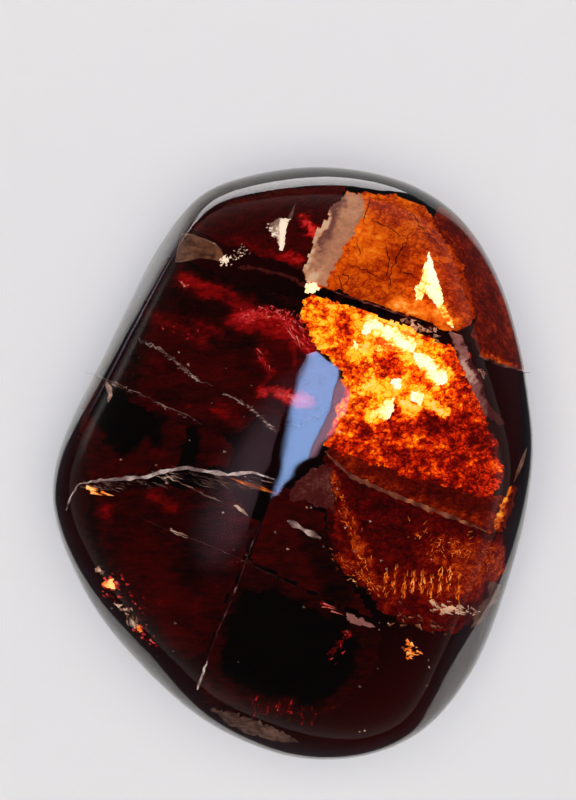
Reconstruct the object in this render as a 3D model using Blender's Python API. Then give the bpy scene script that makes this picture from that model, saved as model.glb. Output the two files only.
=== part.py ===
"""A tumbled and polished pebble of villiaumite, lying on its back.

Villiaumite splits into cubes, so the rough starts as a blocky lump. Tumbling rounds the block and
polishing leaves a few broad, soft faces on it. The pebble is made in the same order: a round block,
bent to the outline of the stone, then ground on soft faces, then cut flat where it rests.

The frame: +Z up, +X to the right and +Y to the top of the stone, origin under the middle of the
bounding box, on the flat that the stone lies on.
"""

import math

import bmesh
import bpy
import numpy as np
from mathutils import Vector

MM = 0.001
UP = Vector((0, 0, 1))

# Driving dimensions, in millimetres
CROWN_HEIGHT = 14.0       # from the widest outline up to the unground crown
BACK_DEPTH = 12.0         # from the widest outline down to the unground back
REST_FLAT_DEPTH = 1.6     # how much of the back is cut away for the flat
RIM_REACH = 0.8           # corners of the grid this near to the flat's rim slide onto it
CROWN_SQUARENESS = 2.9    # superellipse power of the crown's section: 2 is round, 4 is boxy
BACK_SQUARENESS = 2.5
BLOCK_CUTS = 23           # cuts across each side of the starting block

# The widest outline seen from above, anticlockwise from the right-hand side: x, y
OUTLINE = [
    (20.3, 0.0), (20.1, 4.6), (19.2, 10.0), (17.3, 15.8), (14.0, 20.7), (9.2, 23.7),
    (2.4, 25.0), (-3.7, 24.2), (-8.4, 22.2), (-11.8, 18.4), (-14.2, 13.6), (-16.6, 8.2),
    (-18.5, 4.4), (-19.8, 0.8), (-20.2, -3.6), (-18.7, -8.6), (-15.8, -13.9),
    (-10.6, -19.4), (-5.8, -22.8), (0.0, -25.0), (6.0, -24.8), (11.2, -22.6), (14.9, -19.2),
    (17.2, -14.9), (19.3, -7.6),
]

# The soft faces that polishing left: the way each one faces (azimuth from +X, tilt from straight up),
# how far it lies from the middle of the block, and how round its edges are
GROUND_FACES = {
    "crest_left": dict(azimuth=158, tilt=9, distance=11.9, roundness=0.9),
    "crest_right": dict(azimuth=-22, tilt=10, distance=11.9, roundness=0.9),
    "right_bevel": dict(azimuth=14, tilt=52, distance=19.2, roundness=0.6),
    "lower_right_bevel": dict(azimuth=-24, tilt=63, distance=19.6, roundness=0.6),
    "top_bevel": dict(azimuth=97, tilt=62, distance=24.3, roundness=0.7),
    "upper_left_wall": dict(azimuth=151, tilt=76, distance=18.6, roundness=0.5),
    "lower_left_bevel": dict(azimuth=-141, tilt=64, distance=21.0, roundness=0.7),
    "foot_bevel": dict(azimuth=-104, tilt=58, distance=23.4, roundness=0.7),
    "back_right": dict(azimuth=-8, tilt=138, distance=17.2, roundness=1.0),
    "back_left": dict(azimuth=172, tilt=134, distance=17.6, roundness=1.0),
    "back_top": dict(azimuth=84, tilt=128, distance=20.4, roundness=1.0),
}

# Finish
WINE_RED = (0.16, 0.004, 0.006, 1.0)
POLISH_ROUGHNESS = 0.04


def closed_curve(points, steps_between=16):
    """Points along a smooth closed curve that passes through every given point."""
    before, start = np.roll(points, 1, axis=0), np.array(points)
    end, after = np.roll(points, -1, axis=0), np.roll(points, -2, axis=0)
    t = np.linspace(0.0, 1.0, steps_between, endpoint=False)[:, None, None]
    curve = start + 0.5 * t * (
        (end - before)
        + t * (2 * before - 5 * start + 4 * end - after)
        + t * t * (3 * start - before - 3 * end + after)
    )
    return curve.transpose(1, 0, 2).reshape(-1, 2)


def outline_radius():
    """A function that gives the outline's distance from the middle along any azimuth."""
    curve = closed_curve(OUTLINE)
    azimuths = np.arctan2(curve[:, 1], curve[:, 0])
    radii = np.hypot(curve[:, 0], curve[:, 1])
    order = np.argsort(azimuths)
    return lambda azimuth: float(
        np.interp(azimuth, azimuths[order], radii[order], period=2 * math.pi)
    )


def round_block():
    """A cube with a fine grid on every side, blown up into a ball of radius 1."""
    block = bmesh.new()
    bmesh.ops.create_cube(block, size=2.0)
    bmesh.ops.subdivide_edges(block, edges=block.edges[:], cuts=BLOCK_CUTS, use_grid_fill=True)
    for vertex in block.verts:
        # The tangent evens out the grid, which would crowd at the cube's corners
        vertex.co = Vector(math.tan(c * math.pi / 4) for c in vertex.co).normalized()
    return block


def bend_to_outline(block):
    """Gives the ball the stone's outline, crown and back."""
    radius_at = outline_radius()
    for vertex in block.verts:
        x, y, z = vertex.co
        level = math.hypot(x, y)
        if z >= 0:
            height, power = CROWN_HEIGHT, 2 / CROWN_SQUARENESS
        else:
            height, power = BACK_DEPTH, 2 / BACK_SQUARENESS
        azimuth = math.atan2(y, x)
        reach = radius_at(azimuth) * level**power
        vertex.co = (
            reach * math.cos(azimuth),
            reach * math.sin(azimuth),
            math.copysign(height * abs(z) ** power, z),
        )


def facing(azimuth, tilt):
    """The direction at an azimuth from +X and a tilt from straight up, both in degrees."""
    azimuth, tilt = math.radians(azimuth), math.radians(tilt)
    return Vector(
        (math.sin(tilt) * math.cos(azimuth), math.sin(tilt) * math.sin(azimuth), math.cos(tilt))
    )


def grind(block, azimuth, tilt, distance, roundness):
    """Presses the surface back to a plane, with a soft edge where the face begins."""
    normal = facing(azimuth, tilt)
    for vertex in block.verts:
        proud = (vertex.co.dot(normal) - distance) / roundness
        vertex.co -= normal * roundness * np.logaddexp(0.0, proud)


def slide_to_level(block, level):
    """Slides the corners that lie near a level along the surface, until they are on it."""
    block.normal_update()
    for vertex in block.verts:
        uphill = UP - UP.dot(vertex.normal) * vertex.normal
        if uphill.length < 0.1:
            continue
        uphill.normalize()
        slide = (level - vertex.co.z) / uphill.z
        if abs(slide) < RIM_REACH:
            vertex.co += slide * uphill


def cut_rest_flat(block):
    """Cuts the back off on a plane and closes the cut with one face."""
    level = REST_FLAT_DEPTH - BACK_DEPTH
    slide_to_level(block, level)
    bmesh.ops.bisect_plane(
        block,
        geom=block.verts[:] + block.edges[:] + block.faces[:],
        dist=0.001,
        plane_co=(0, 0, level),
        plane_no=(0, 0, -1),
        clear_outer=True,
    )
    rim = [edge for edge in block.edges if edge.is_boundary]
    bmesh.ops.edgeloop_fill(block, edges=rim)
    for edge in rim:
        edge.smooth = False


def stand_on_origin(block):
    """Moves the block so that the origin lies under the middle of its box, at its lowest point."""
    low = Vector(min(v.co[axis] for v in block.verts) for axis in range(3))
    high = Vector(max(v.co[axis] for v in block.verts) for axis in range(3))
    middle = (low + high) / 2
    bmesh.ops.translate(block, verts=block.verts[:], vec=(-middle.x, -middle.y, -low.z))


def polished_villiaumite():
    """The wine-red, glassy finish of the polished mineral."""
    material = bpy.data.materials.new("polished_villiaumite")
    material.use_nodes = True
    shader = material.node_tree.nodes["Principled BSDF"]
    shader.inputs["Base Color"].default_value = WINE_RED
    shader.inputs["Roughness"].default_value = POLISH_ROUGHNESS
    shader.inputs["Metallic"].default_value = 0.0
    shader.inputs["IOR"].default_value = 1.33
    return material


def make_stone():
    """The whole pebble, one closed solid."""
    block = round_block()
    bend_to_outline(block)
    for face in GROUND_FACES.values():
        grind(block, **face)
    cut_rest_flat(block)
    stand_on_origin(block)
    bmesh.ops.scale(block, verts=block.verts[:], vec=(MM, MM, MM))
    bmesh.ops.recalc_face_normals(block, faces=block.faces[:])

    mesh = bpy.data.meshes.new("villiaumite")
    block.to_mesh(mesh)
    block.free()
    mesh.shade_smooth()
    mesh.materials.append(polished_villiaumite())
    stone = bpy.data.objects.new("villiaumite", mesh)
    bpy.context.scene.collection.objects.link(stone)
    return stone


def main():
    for leftover in list(bpy.data.objects):
        bpy.data.objects.remove(leftover)
    make_stone()


main()
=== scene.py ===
# %% [markdown]
# # A polished pebble of villiaumite
#
# Villiaumite is a soft red mineral that splits into cubes. This stone was tumbled and polished, so
# its outside is smooth and glassy, and everything else that the eye sees lies inside: cleavage
# cracks, broken feathers that catch the light, and small bright flakes. The lesson makes the clear
# red body, then each flaw, then the table, the light and the camera. Measures are in millimetres.

import math
import random

import bmesh
import bpy
from mathutils import Matrix, Vector, noise
from mathutils.bvhtree import BVHTree


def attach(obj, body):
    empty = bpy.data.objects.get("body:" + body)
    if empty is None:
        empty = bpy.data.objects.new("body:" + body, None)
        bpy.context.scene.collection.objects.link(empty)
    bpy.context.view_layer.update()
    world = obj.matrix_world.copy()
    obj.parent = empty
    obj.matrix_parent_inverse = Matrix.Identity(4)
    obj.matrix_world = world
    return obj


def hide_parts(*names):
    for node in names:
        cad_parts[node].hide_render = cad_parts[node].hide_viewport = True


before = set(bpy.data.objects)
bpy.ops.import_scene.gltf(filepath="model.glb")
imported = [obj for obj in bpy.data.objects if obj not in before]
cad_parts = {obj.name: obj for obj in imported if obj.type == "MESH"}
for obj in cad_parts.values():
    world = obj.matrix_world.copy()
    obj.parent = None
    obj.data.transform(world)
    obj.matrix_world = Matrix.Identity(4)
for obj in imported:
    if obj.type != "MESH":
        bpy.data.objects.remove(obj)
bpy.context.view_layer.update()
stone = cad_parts["villiaumite"]
MM = 0.001

# %% [markdown]
# ## Shared tools
#
# Materials and lamps are built of nodes, and pieces as a bmesh. Written out, each node takes
# several lines, so three helpers add a node, add a Color Ramp, and turn a bmesh into an object.

# %% Nodes and objects


def add_node(tree, kind, inputs=None, **settings):
    """Adds a node. Each of its inputs is a value or another node's output."""
    made = tree.nodes.new(kind)
    for name, value in settings.items():
        setattr(made, name, value)
    for name, value in (inputs or {}).items():
        if isinstance(value, bpy.types.NodeSocket):
            tree.links.new(value, made.inputs[name])
        else:
            made.inputs[name].default_value = value
    return made


def add_ramp(tree, value, stops):
    """Adds a Color Ramp with those stops, and returns its colour."""
    made = add_node(tree, "ShaderNodeValToRGB", {"Fac": value})
    points = made.color_ramp.elements
    points[0].position, points[1].position = stops[0][0], stops[-1][0]
    points[0].color, points[1].color = (*stops[0][1], 1.0), (*stops[-1][1], 1.0)
    for position, colour in stops[1:-1]:
        points.new(position).color = (*colour, 1.0)
    return made.outputs["Color"]


def as_object(shape, name):
    """Turns a finished bmesh into an object of the scene."""
    mesh = bpy.data.meshes.new(name)
    shape.to_mesh(mesh)
    shape.free()
    made = bpy.data.objects.new(name, mesh)
    bpy.context.scene.collection.objects.link(made)
    return made


print("three helpers are ready")

# %% [markdown]
# ## One kind of finish
#
# Every finish here is a Principled shader with a few nodes in front of it. A class keeps them
# together, so that each finish only says what is special about it. Patterns read Object
# coordinates, in metres, so a scale of 1000 repeats about once in a millimetre.

# %% A material and its nodes


class Finish:
    """A Principled material that is built up node by node."""

    def __init__(self, name):
        self.material = bpy.data.materials.new(name)
        self.material.use_nodes = True
        self.tree = self.material.node_tree
        self.shader = self.tree.nodes["Principled BSDF"]
        self.place = self.node("ShaderNodeTexCoord").outputs["Object"]

    def node(self, kind, inputs=None, **settings):
        return add_node(self.tree, kind, inputs, **settings)

    def feed(self, socket, value):
        self.tree.links.new(value, self.shader.inputs[socket])

    def set(self, **values):
        for name, value in values.items():
            self.shader.inputs[name.replace("_", " ")].default_value = value


# %% [markdown]
# ## The polished body
#
# The body is one smooth, glassy skin round clear red crystal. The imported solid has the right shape,
# but in flat triangles, which would break up long reflections. So a copy is merged, its triangles
# are joined into four-sided faces, and a Subdivision Surface rounds it. The flat at the back is one
# face with a narrow rim, so that it stays flat.

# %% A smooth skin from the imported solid
MERGE_DISTANCE = 0.01
TABLE_GAP = 0.001
FLAT_RIM = 0.7
FACE_ANGLE = 0.6
SHAPE_ANGLE = 1.2
ROUNDING = 2


def faces_on_table(shape):
    """The faces that lie on the table."""
    return [face for face in shape.faces if max(v.co.z for v in face.verts) < TABLE_GAP * MM]


def smooth_skin(source, name):
    """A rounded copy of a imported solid."""
    skin = bmesh.new()
    skin.from_mesh(source.data)
    bmesh.ops.remove_doubles(skin, verts=skin.verts[:], dist=MERGE_DISTANCE * MM)
    bmesh.ops.dissolve_faces(skin, faces=faces_on_table(skin))
    flat = faces_on_table(skin)
    rest = [face for face in skin.faces if face not in set(flat)]
    bmesh.ops.join_triangles(
        skin, faces=rest, angle_face_threshold=FACE_ANGLE, angle_shape_threshold=SHAPE_ANGLE
    )
    bmesh.ops.inset_region(skin, faces=flat, thickness=FLAT_RIM * MM)
    piece = as_object(skin, name)
    piece.data.shade_smooth()
    rounding = piece.modifiers.new("rounding", "SUBSURF")
    rounding.levels = rounding.render_levels = ROUNDING
    return piece


body = smooth_skin(stone, "polished_body")
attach(body, "root")
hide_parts("villiaumite")
print("polished_body has", len(body.data.polygons), "faces before rounding")

# %% [markdown]
# ## Clear wine red
#
# The colour of villiaumite sits in the crystal, not on it: thin edges glow red and thick parts turn
# black. Red glass would be one even red. So the skin is colourless glass with the mineral's low
# index of refraction, and a Volume Absorption inside takes away blue, then green, then red. A faint
# wave in the polish keeps reflections from looking machine made.

# %% The crystal's finish
VILLIAUMITE_IOR = 1.33
RED_THAT_STAYS = (0.9, 0.5, 0.02, 1)
LOSS_PER_METRE = 1000
CLEAR = (1, 1, 1, 1)
POLISH_ROUGHNESS = 0.015
POLISH_WAVES = {"Scale": 160.0, "Detail": 2.0}
POLISH_RELIEF = {"Strength": 0.02, "Distance": 0.002}

crystal = Finish("wine_red_crystal")
crystal.set(
    Base_Color=CLEAR, Transmission_Weight=1.0, IOR=VILLIAUMITE_IOR, Roughness=POLISH_ROUGHNESS
)
wave = crystal.node("ShaderNodeTexNoise", {"Vector": crystal.place, **POLISH_WAVES})
polish = crystal.node("ShaderNodeBump", {"Height": wave.outputs["Fac"], **POLISH_RELIEF})
crystal.feed("Normal", polish.outputs["Normal"])
absorb = crystal.node(
    "ShaderNodeVolumeAbsorption", {"Color": RED_THAT_STAYS, "Density": LOSS_PER_METRE}
)
crystal.tree.links.new(
    absorb.outputs["Volume"], crystal.tree.nodes["Material Output"].inputs["Volume"]
)
body.data.materials.append(crystal.material)
print("wine_red_crystal has an index of refraction of", VILLIAUMITE_IOR)

# %% [markdown]
# ## Where the flaws lie
#
# The crystal cleaves in three directions at right angles. From above, one runs down to the right by
# 19 degrees and one runs across it, and the cracks keep to them. Flaws at fixed heights would stick
# out where the stone curves down. So each is placed by its depth under the polished face, and a ray
# dropped on the stone finds how high that face is.

# %% Cleavage directions and depth
CAMERA_FOOT = Vector((-0.43, 5.34))
CAMERA_HEIGHT = 171.8
WIDEST = 9.0
CLEAVAGE_TURN = math.radians(-19)
ALONG = Vector((math.cos(CLEAVAGE_TURN), math.sin(CLEAVAGE_TURN)))
ACROSS = Vector((-ALONG.y, ALONG.x))
HIGH_ABOVE = 1000
DOWN = Vector((0, 0, -1))
STEP_IN = 0.95
PLACING_ROUNDS = 3
solid = bmesh.new()
solid.from_mesh(stone.data)
polished_face = BVHTree.FromBMesh(solid)
solid.free()


def face_height(x, y):
    """How high the polished face is over a point, or None beside the stone."""
    spot = polished_face.ray_cast(Vector((x * MM, y * MM, HIGH_ABOVE * MM)), DOWN)[0]
    return spot.z / MM if spot else None


def under_face(x, y, depth):
    """The height that lies that deep under the polished face."""
    top = face_height(x, y) or face_height(STEP_IN * x, STEP_IN * y) or WIDEST
    return top - depth


def placed(x, y):
    """Where a flaw lies that looks to be at x, y on the level of the stone's widest outline."""
    seen = Vector((x, y))
    spot = seen
    for _ in range(PLACING_ROUNDS):
        share = (CAMERA_HEIGHT - (face_height(*spot) or WIDEST)) / (CAMERA_HEIGHT - WIDEST)
        spot = CAMERA_FOOT + share * (seen - CAMERA_FOOT)
    return spot


print("the crest is", round(face_height(0, 0), 1), "mm high")

# %% [markdown]
# ## Painting with strokes
#
# A broken sheet in the crystal isn't equally bright all over, and noise alone would put the bright
# places anywhere. So the glow, from 0 for dark to 1, is laid on in soft strokes. They are bent by
# noise and snapped to small cells along the cleavage, so that their edges break in steps as the
# crystal does. The mesh stores the result as an attribute, which the material reads.

# %% Strokes and ragged outlines
STEP = 0.22
BROAD_WAVES = 0.9
FINE_WAVES = 3
FINE_SHARE = 0.6
X_SEEDS = (3.0, 7.0)
Y_SEEDS = (9.0, 1.0)
SHORTEST = 1e-6


def smooth_noise(x, y, waves, seed):
    """Noise with about that many waves in a millimetre."""
    return noise.noise((waves * x, waves * y, seed))


def wavering(x, y, broad_seed, fine_seed):
    """Broad and fine noise together."""
    broad = smooth_noise(x, y, BROAD_WAVES, broad_seed)
    return broad + FINE_SHARE * smooth_noise(x, y, FINE_WAVES, fine_seed)


def wandered(x, y, wander):
    """Shifts a point by noise."""
    return Vector((x + wander * wavering(x, y, *X_SEEDS), y + wander * wavering(x, y, *Y_SEEDS)))


def broken(x, y, wander=0.5):
    """Shifts a point by noise and snaps it to the crystal's small steps."""
    spot = wandered(x, y, wander)
    along, across = round(spot.dot(ALONG) / STEP), round(spot.dot(ACROSS) / STEP)
    return along * STEP * ALONG + across * STEP * ACROSS


def stroke_cover(spot, start, end, width, soft):
    """How much of a stroke covers a point: 1 inside it, falling to 0 over the soft edge."""
    length = max((end - start).length_squared, SHORTEST)
    share = min(max((spot - start).dot(end - start) / length, 0.0), 1.0)
    distance = (spot - start.lerp(end, share)).length
    edge = min(max((width + soft - distance) / soft, 0.0), 1.0)
    return edge * edge * (3 - 2 * edge)


def painted(level, strokes, x, y):
    """The glow at a point: the level of the sheet, changed by each stroke in turn."""
    spot = broken(x, y)
    for start, end, width, soft, goal in strokes:
        level += (goal - level) * stroke_cover(spot, start, end, width, soft)
    return level


def within(outline, spot):
    """Whether a point lies inside a closed outline."""
    inside = False
    for (x1, y1), (x2, y2) in zip(outline, outline[1:] + outline[:1]):
        if (y1 > spot.y) != (y2 > spot.y) and spot.x < x1 + (spot.y - y1) * (x2 - x1) / (y2 - y1):
            inside = not inside
    return inside


print("a sheet's edge breaks in steps of", STEP, "mm")

# %% [markdown]
# ## Four shapes of flaw
#
# Every flaw is one of four shapes. A sheet is a crack that spread between two cleavage planes: a
# grid turned to the cleavage loses the faces outside its outline, gets the thickness of paper, and
# goes under the polished face in flat terraces. A facet is a flat plate, a crack is a strip along a
# path, and a shard is a flat three-sided cone. Open faces would do for the picture, but each shape
# is closed, as a solid thing is, and each corner keeps its own glow.

# %% Sheets, facets, cracks and shards


class Flaws:
    """Collects closed shapes, each with its glow, into one piece of the stone."""

    EDGE_MARGIN = 1.04
    SHEET_THICKNESS = 0.04
    TERRACES = 3
    TERRACE_WAVES = 0.35
    HACKLE_WAVES = 2.2
    HACKLE_SHARE = 0.3
    FACET_THICKNESS = 0.08
    CRACK_SEGMENT = 0.2
    TIP_SLOPE = 4
    TIP_WIDTH = 0.25
    MEAN_WIDTH = 0.65
    LEAST_WIDTH = 0.15
    SWELL_WAVES = 1.1
    SWELL_SHARE = 0.6
    JAG_WAVES = 2.5
    GLINT_WAVES = 1.3
    GLINT_SHARE = 0.5
    SHARD_SIDES = 3
    SHARD_FLATNESS = 0.3
    SHARD_SIZES = (0.5, 1.3)
    SHARD_DEPTHS = (0, 0.5)
    SHARD_ROLLS = (0, 6)
    PITCH_SPREAD = 12
    GLOW_SPREAD = 0.15

    def __init__(self, name, finish):
        self.name = name
        self.finish = finish
        self.shapes = bmesh.new()
        self.glow = self.shapes.verts.layers.float.new("glow")

    def over_stone(self, x, y):
        """Whether a point lies over the stone and not too near to its edge."""
        return face_height(self.EDGE_MARGIN * x, self.EDGE_MARGIN * y) is not None

    def thickened(self, faces, thickness):
        """Gives flat faces a thickness, and returns all corners of the closed shape."""
        corners = {vertex for face in faces for vertex in face.verts}
        added = bmesh.ops.solidify(self.shapes, geom=faces, thickness=thickness)["geom"]
        return corners | {part for part in added if isinstance(part, bmesh.types.BMVert)}

    def sheet(self, outline, depth, level, strokes=(), cell=0.15, terrace=0.4, ragged=0.3):
        """A ragged, terraced sheet. A stroke is x, y, end x, end y, width, softness and goal."""
        outline = [placed(x, y) for x, y in outline]
        strokes = [(placed(*row[:2]), placed(*row[2:4]), *row[4:]) for row in strokes]
        low = Vector((min(c.dot(ALONG) for c in outline), min(c.dot(ACROSS) for c in outline)))
        high = Vector((max(c.dot(ALONG) for c in outline), max(c.dot(ACROSS) for c in outline)))
        size = high - low
        middle = low + size / 2
        place = Matrix.Rotation(CLEAVAGE_TURN, 4, "Z") @ Matrix.Translation((*middle, 0))
        place = place @ Matrix.Diagonal((size.x, size.y, 1, 1))
        cells = [max(round(side / cell), 1) for side in size]
        grid = bmesh.ops.create_grid(
            self.shapes, x_segments=cells[0], y_segments=cells[1], size=0.5, matrix=place
        )
        faces = {face for vertex in grid["verts"] for face in vertex.link_faces}
        kept, lost = [], []
        for face in faces:
            x, y = face.calc_center_median().xy
            inside = within(outline, wandered(x, y, ragged)) and self.over_stone(x, y)
            (kept if inside else lost).append(face)
        bmesh.ops.delete(self.shapes, geom=lost, context="FACES")
        for vertex in self.thickened(kept, self.SHEET_THICKNESS):
            x, y, thick = vertex.co
            spot = broken(x, y)
            rise = smooth_noise(*spot, self.TERRACE_WAVES, depth)
            steps = round(self.TERRACES * rise) / self.TERRACES
            hackle = self.HACKLE_SHARE * smooth_noise(*spot, self.HACKLE_WAVES, depth)
            vertex[self.glow] = painted(level, strokes, x, y)
            vertex.co.z = thick + under_face(x, y, depth) - terrace * (steps + hackle)

    def facet(self, outline, depth, level, rise=(0.0, 0.0)):
        """A flat plate. The rise tilts it, in millimetres up for each millimetre along x and y."""
        outline = [placed(x, y) for x, y in outline]
        middle = sum(outline, Vector((0, 0))) / len(outline)
        height = under_face(*middle, depth)
        corners = [
            self.shapes.verts.new((*spot, height + (spot - middle).dot(Vector(rise))))
            for spot in outline
        ]
        plate = self.shapes.faces.new(corners)
        for vertex in self.thickened([plate], self.FACET_THICKNESS):
            vertex[self.glow] = level

    def crack(self, path, width, depth, level, jag=0.12, drop=0.1, seed=0):
        """A strip along a path: it wavers by the jag, and it is as tall as the drop."""
        path = [placed(x, y) for x, y in path]
        reach = [0.0]
        for start, end in zip(path, path[1:]):
            reach.append(reach[-1] + (end - start).length)
        segments = max(round(reach[-1] / self.CRACK_SEGMENT), 2)
        strip = bmesh.ops.create_grid(self.shapes, x_segments=segments, y_segments=1, size=0.5)
        faces = {face for vertex in strip["verts"] for face in vertex.link_faces}
        for vertex in self.thickened(list(faces), drop):
            along, side, thick = vertex.co
            gone = min(max(along + 0.5, 0.0), 1.0) * reach[-1]
            leg = max(i for i in range(len(path) - 1) if reach[i] <= gone)
            start, end = path[leg], path[leg + 1]
            spot = start.lerp(end, (gone - reach[leg]) / (reach[leg + 1] - reach[leg]))
            aside = Vector((start.y - end.y, end.x - start.x)).normalized()
            taper = min(1.0, self.TIP_SLOPE * (0.5 - abs(along)) + self.TIP_WIDTH)
            swell = self.SWELL_SHARE * noise.noise((self.SWELL_WAVES * gone, seed, 0.0))
            swell = max(self.MEAN_WIDTH + swell, self.LEAST_WIDTH)
            waver = jag * noise.noise((self.JAG_WAVES * gone, seed, 5.0))
            spot += aside * (waver + side * width * swell * taper)
            glint = self.GLINT_SHARE * noise.noise((self.GLINT_WAVES * gone, seed, 9.0))
            vertex[self.glow] = level + glint
            vertex.co = (*spot, thick + under_face(*spot, depth))

    def shards(
        self, start, end, spread, count, length, width, depth, level, heading=None, fan=30, seed=0
    ):
        """Shards scattered round a line, which lie about along the heading, in degrees from +X."""
        pick = random.Random(seed)
        start, end = placed(*start), placed(*end)
        lie = math.degrees(CLEAVAGE_TURN) if heading is None else heading
        for _ in range(count):
            spot = start.lerp(end, pick.random())
            spot += Vector((pick.gauss(0, spread), pick.gauss(0, spread)))
            if not self.over_stone(*spot):
                continue
            turn = Matrix.Rotation(math.radians(pick.gauss(lie, fan)), 4, "Z")
            pitch = Matrix.Rotation(math.radians(90 + pick.gauss(0, self.PITCH_SPREAD)), 4, "Y")
            flat = Matrix.Diagonal((1, 1, self.SHARD_FLATNESS, 1))
            roll = Matrix.Rotation(pick.uniform(*self.SHARD_ROLLS), 4, "Z")
            height = under_face(*spot, depth + pick.uniform(*self.SHARD_DEPTHS))
            scale = pick.uniform(*self.SHARD_SIZES)
            shard = bmesh.ops.create_cone(
                self.shapes,
                cap_ends=True,
                segments=self.SHARD_SIDES,
                radius1=width * scale / 2,
                radius2=0.0,
                depth=length * scale,
                matrix=Matrix.Translation((*spot, height)) @ turn @ flat @ pitch @ roll,
            )
            glow = level + pick.gauss(0, self.GLOW_SPREAD)
            for vertex in shard["verts"]:
                vertex[self.glow] = glow

    def make(self):
        """Turns the shapes into a piece that belongs to the stone."""
        bmesh.ops.scale(self.shapes, verts=self.shapes.verts[:], vec=(MM, MM, MM))
        bmesh.ops.recalc_face_normals(self.shapes, faces=self.shapes.faces[:])
        piece = as_object(self.shapes, self.name)
        piece.data.materials.append(self.finish.material)
        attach(piece, "root")
        print(f"{self.name}: {len(piece.data.polygons)} faces")


# %% [markdown]
# ## Finishes that glow
#
# Light from behind the stone is scattered by the broken sheets, so they glow: white or yellow near
# the face, orange below, dark red where they are deep. Tracing that light would take far too long,
# so each finish glows by itself. It adds patches, grains, crisp cells and dark veins to the painted
# glow, and a Color Ramp turns the sum into colour.

# %% A finish with grains
PATCHES = {"Scale": 0.22, "Detail": 2.0, "Distortion": 0.8}
GRAINS = {"Scale": 0.8, "Detail": 9.0, "Roughness": 0.85}
CELL_SCALE = 1.1
VEIN_SCALE = 0.6
VEIN_WIDTH = 0.08
BEND = (2.2, 2.2, 2.2)
PATCH_SHARE = 1.6
GRAIN_SHARE = 2.6
NOISE_MIDDLE = 0.5
FLAW_ROUGHNESS = 0.35


def glowing_finish(
    name, grain, contrast, strength, stops, veins=0.0, crisp=0.3, sheen=0.1, stretch=1.4
):
    """A finish with grains of that size, in millimetres, and colours from dull to bright."""
    finish = Finish(name)
    glow = finish.node("ShaderNodeAttribute", attribute_name="glow").outputs["Fac"]
    across = 1 / MM / grain
    turned = {"Rotation": (0, 0, -CLEAVAGE_TURN), "Scale": (across / stretch, across, across)}
    lie = finish.node("ShaderNodeMapping", {"Vector": finish.place, **turned}).outputs["Vector"]
    patches = finish.node("ShaderNodeTexNoise", {"Vector": lie, **PATCHES}).outputs["Fac"]
    grains = finish.node("ShaderNodeTexNoise", {"Vector": lie, **GRAINS}).outputs
    bend = finish.node(
        "ShaderNodeVectorMath", {0: grains["Color"], 1: BEND, 2: lie}, operation="MULTIPLY_ADD"
    ).outputs["Vector"]
    cells = finish.node("ShaderNodeTexVoronoi", {"Vector": bend, "Scale": CELL_SCALE})
    cell = finish.node("ShaderNodeSeparateColor", {"Color": cells.outputs["Color"]})
    cracks = finish.node(
        "ShaderNodeTexVoronoi", {"Vector": bend, "Scale": VEIN_SCALE}, feature="DISTANCE_TO_EDGE"
    ).outputs["Distance"]
    total = finish.node(
        "ShaderNodeMapRange",
        {"Value": cracks, "From Max": VEIN_WIDTH, "To Min": -veins, "To Max": 0.0},
    ).outputs["Result"]
    for part, share in (
        (patches, PATCH_SHARE * contrast),
        (grains["Fac"], GRAIN_SHARE * contrast),
        (cell.outputs["Red"], crisp * contrast),
    ):
        even = finish.node(
            "ShaderNodeMath", {0: part, 1: NOISE_MIDDLE}, operation="SUBTRACT"
        ).outputs[0]
        total = finish.node(
            "ShaderNodeMath", {0: even, 1: share, 2: total}, operation="MULTIPLY_ADD"
        ).outputs[0]
    total = finish.node("ShaderNodeMath", {0: total, 1: glow}, operation="ADD").outputs[0]
    colour = add_ramp(finish.tree, total, stops)
    finish.feed("Base Color", colour)
    finish.feed("Emission Color", colour)
    finish.set(Emission_Strength=strength, Roughness=FLAW_ROUGHNESS, Specular_IOR_Level=sheen)
    print(name, "has", len(stops), "colours")
    return finish


# %% [markdown]
# ## The colours of fire
#
# These finishes run from black through dark red and orange to yellow and white, as light does that
# comes through less and less of a red crystal. One could serve for all, but the real sheets differ:
# the main feather is fierce, the panel finer and calmer, and the deep feather nearly black.

# %% The finishes of the warm flaws
feather_fire = glowing_finish(
    "feather_fire", grain=0.3, contrast=0.6, strength=1.3, veins=0.3, stretch=1.2,
    stops=[
        (0, (0.05, 0.0004, 0)), (0.16, (0.15, 0.003, 0)), (0.32, (0.45, 0.02, 0)),
        (0.45, (0.85, 0.12, 0.002)), (0.54, (1, 0.42, 0.005)), (0.64, (1, 0.92, 0.02)),
        (0.78, (1, 1, 0.2)), (1, (1, 1, 0.85)),
    ],
)
panel_fire = glowing_finish(
    "panel_fire", grain=0.25, contrast=0.34, strength=1.0, veins=0.14,
    stops=[
        (0, (0.03, 0.001, 0)), (0.2, (0.11, 0.006, 0)), (0.4, (0.36, 0.05, 0.001)),
        (0.6, (0.75, 0.25, 0.006)), (0.78, (1, 0.6, 0.1)), (0.88, (1, 0.95, 0.5)),
        (1, (1, 1, 0.9)),
    ],
)
white_fire = glowing_finish(
    "white_fire", grain=0.35, contrast=0.6, strength=1.3, veins=0.25,
    stops=[
        (0, (0.3, 0.01, 0)), (0.35, (0.7, 0.1, 0.005)), (0.48, (0.95, 0.35, 0.02)),
        (0.6, (1, 0.8, 0.12)), (0.75, (1, 0.98, 0.5)), (0.92, (1, 1, 0.88)),
    ],
)
deep_fire = glowing_finish(
    "deep_fire", grain=0.3, contrast=0.32, strength=1.0, veins=0.15,
    stops=[
        (0, (0.01, 0, 0)), (0.2, (0.07, 0.0005, 0.0005)), (0.35, (0.17, 0.008, 0.001)),
        (0.5, (0.45, 0.1, 0.008)), (0.7, (0.95, 0.42, 0.05)), (1, (1, 0.9, 0.4)),
    ],
)
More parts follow.
